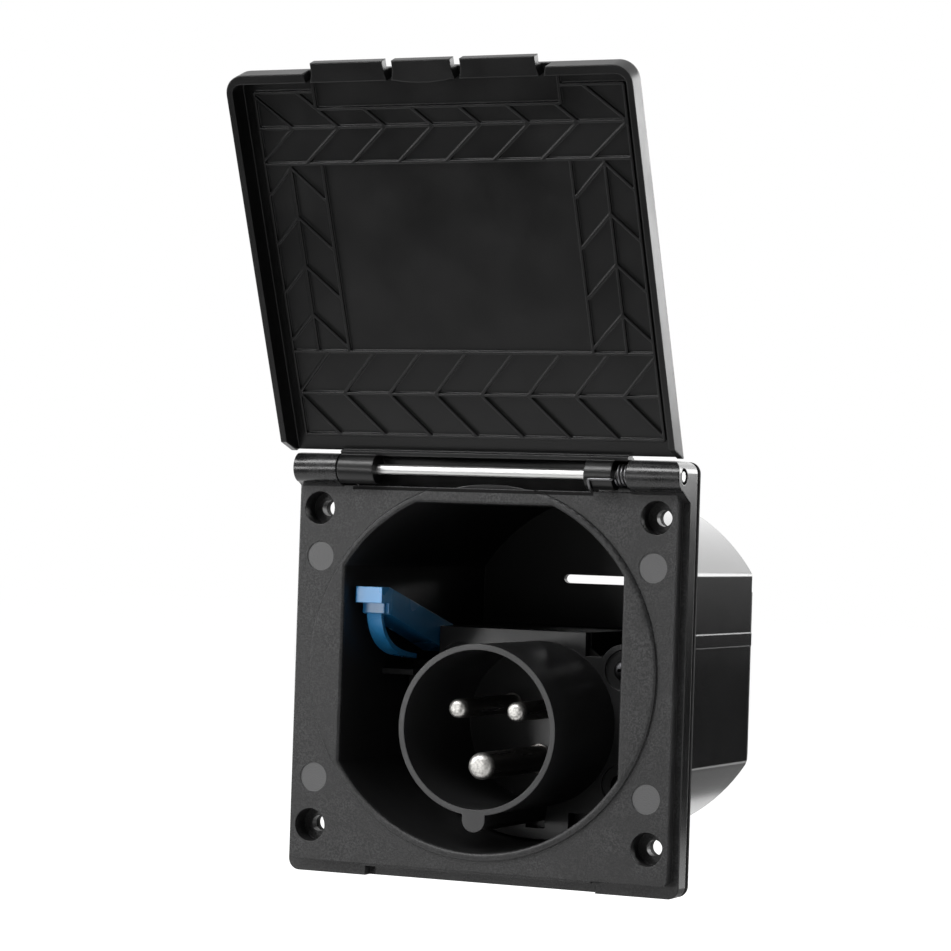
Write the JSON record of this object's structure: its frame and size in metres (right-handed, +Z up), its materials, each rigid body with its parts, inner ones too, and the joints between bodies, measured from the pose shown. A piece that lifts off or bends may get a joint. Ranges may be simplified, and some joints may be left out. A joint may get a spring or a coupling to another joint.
{
  "type": "mains inlet",
  "caption": "Flush-mount mains inlet: square wall flange with a sprung ribbed lid, deep flat-sided round box, keyed pin shroud, release lever and rear cable gland.",
  "frame": {"origin": "centre of the wall screw pattern, on the wall plane at the gasket's back face", "axes": "+X to the right as seen from the front, +Y into the wall, +Z up; the lid's hinge is at the top"},
  "size_m": [0.11, 0.1617, 0.2065],
  "materials": {
    "body_plastic": "fine grained black moulding",
    "lid_plastic": "satin black moulding",
    "carrier_plastic": "satin black moulding",
    "gland_plastic": "satin black moulding",
    "blue_plastic": "smooth blue moulding",
    "steel": "bright drawn steel",
    "nickel": "nickel plated",
    "rubber": "matt black seal"
  },
  "bodies": {
    "housing": {"housing": "body_plastic", "wall_gasket": "rubber", "hinge_pin": "steel", "lid_spring": "steel", "lever_pin": "steel", "pin_carrier": "carrier_plastic", "carrier_seal": "rubber", "carrier_screws": "steel", "live_pin": "nickel", "neutral_pin": "nickel", "earth_pin": "nickel", "terminal_screws": "steel", "rear_cover": "body_plastic", "rear_cover_seal": "rubber", "rear_cover_screws": "steel", "gland_body": "gland_plastic", "gland_locknut": "gland_plastic", "gland_seal": "rubber", "gland_nut": "gland_plastic"},
    "lid": {"lid": "lid_plastic"},
    "lever": {"release_lever": "blue_plastic"}
  },
  "joints": [
    {"name": "lid_hinge", "type": "hinge", "parent": "housing", "child": "lid", "pos_m": [0, -0.0118, 0.0521], "axis": [1, 0, 0], "range_deg": [0, 157.57], "stiffness_Nm_per_rad": 0.03, "springref_deg": -68.75, "deforming": ["lid_spring"]},
    {"name": "lever_press", "type": "hinge", "parent": "housing", "child": "lever", "pos_m": [-0.0335, 0.036, 0.0075], "axis": [1, 0, 0], "range_deg": [0, 8], "stiffness_Nm_per_rad": 0.2, "springref_deg": -14.32}
  ]
}
